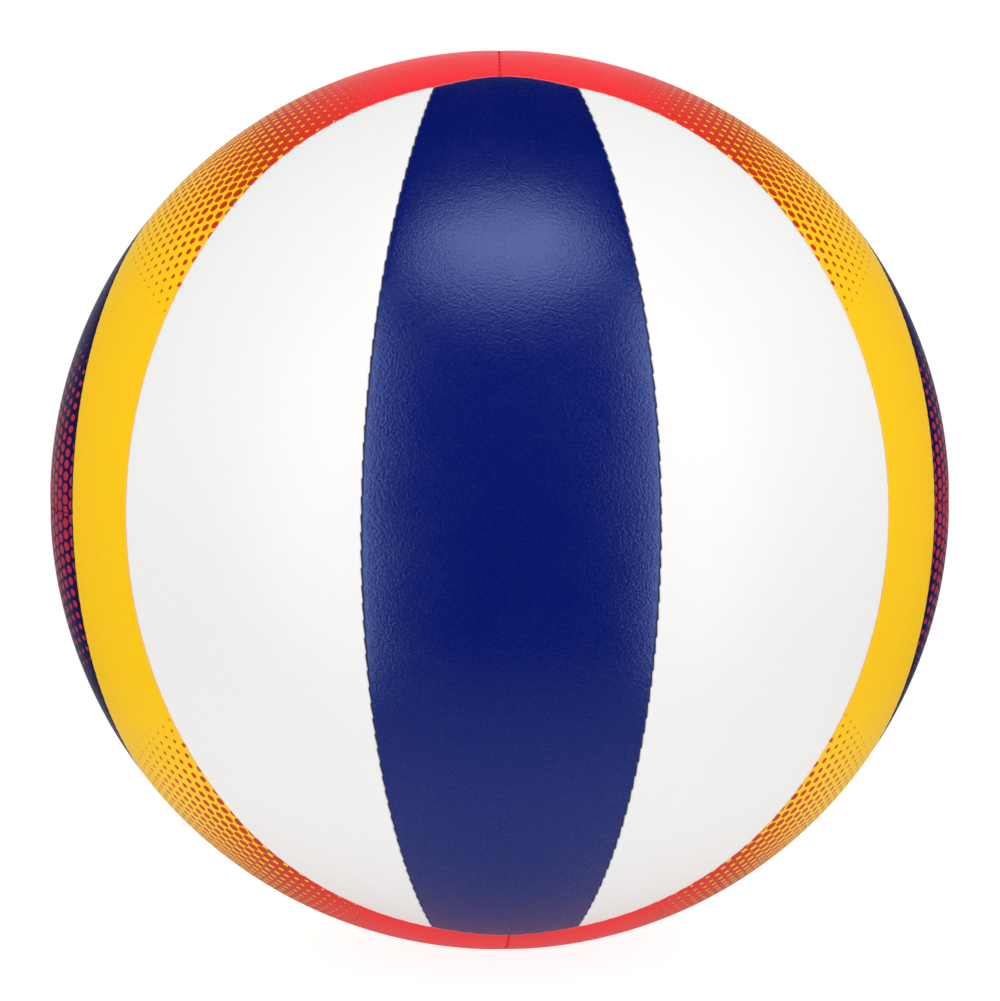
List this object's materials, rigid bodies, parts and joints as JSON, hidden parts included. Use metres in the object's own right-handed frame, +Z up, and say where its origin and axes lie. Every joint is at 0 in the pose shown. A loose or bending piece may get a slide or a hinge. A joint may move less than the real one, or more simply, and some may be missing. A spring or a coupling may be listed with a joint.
{
  "type": "volleyball",
  "caption": "Inflatable ball for volleyball: a stitched cover of interlocking curved panels over foam and cloth, with a rubber bladder and a needle valve.",
  "frame": {"origin": "centre of the ball", "axes": "+Z up, as the ball stands in the picture; the oval of the front half faces -Y, and the valve's axis is +Y, out of the middle of the rear oval"},
  "size_m": [0.2132, 0.2131, 0.2132],
  "materials": {
    "blue_leather": "synthetic leather, royal blue, fine pebble grain, soft sheen",
    "white_leather": "synthetic leather, white, fine pebble grain, soft sheen",
    "yellow_leather": "synthetic leather, yellow with a red dot fade to red at the ends, fine pebble grain",
    "navy_leather": "synthetic leather, navy with a red dot fade at the ends, fine pebble grain",
    "foam": "soft closed-cell foam",
    "lining_cloth": "plain woven polyester and cotton cloth",
    "bladder_rubber": "matt butyl rubber",
    "valve_rubber": "smooth matt rubber",
    "seam_thread": "dark waxed polyester thread, lock stitched"
  },
  "bodies": {
    "root": {"front_centre_skin": "blue_leather", "front_left_skin": "white_leather", "front_right_skin": "white_leather", "front_left_band_skin": "yellow_leather", "front_right_band_skin": "yellow_leather", "rear_centre_skin": "blue_leather", "rear_upper_skin": "white_leather", "rear_lower_skin": "white_leather", "rear_upper_band_skin": "navy_leather", "rear_lower_band_skin": "navy_leather", "front_centre_foam": "foam", "front_left_foam": "foam", "front_right_foam": "foam", "front_left_band_foam": "foam", "front_right_band_foam": "foam", "rear_centre_foam": "foam", "rear_upper_foam": "foam", "rear_lower_foam": "foam", "rear_upper_band_foam": "foam", "rear_lower_band_foam": "foam", "front_centre_lining": "lining_cloth", "front_left_lining": "lining_cloth", "front_right_lining": "lining_cloth", "front_left_band_lining": "lining_cloth", "front_right_band_lining": "lining_cloth", "rear_centre_lining": "lining_cloth", "rear_upper_lining": "lining_cloth", "rear_lower_lining": "lining_cloth", "rear_upper_band_lining": "lining_cloth", "rear_lower_band_lining": "lining_cloth", "bladder": "bladder_rubber", "valve_body": "valve_rubber", "valve_plug": "valve_rubber", "valve_patch": "lining_cloth"}
  },
  "joints": []
}
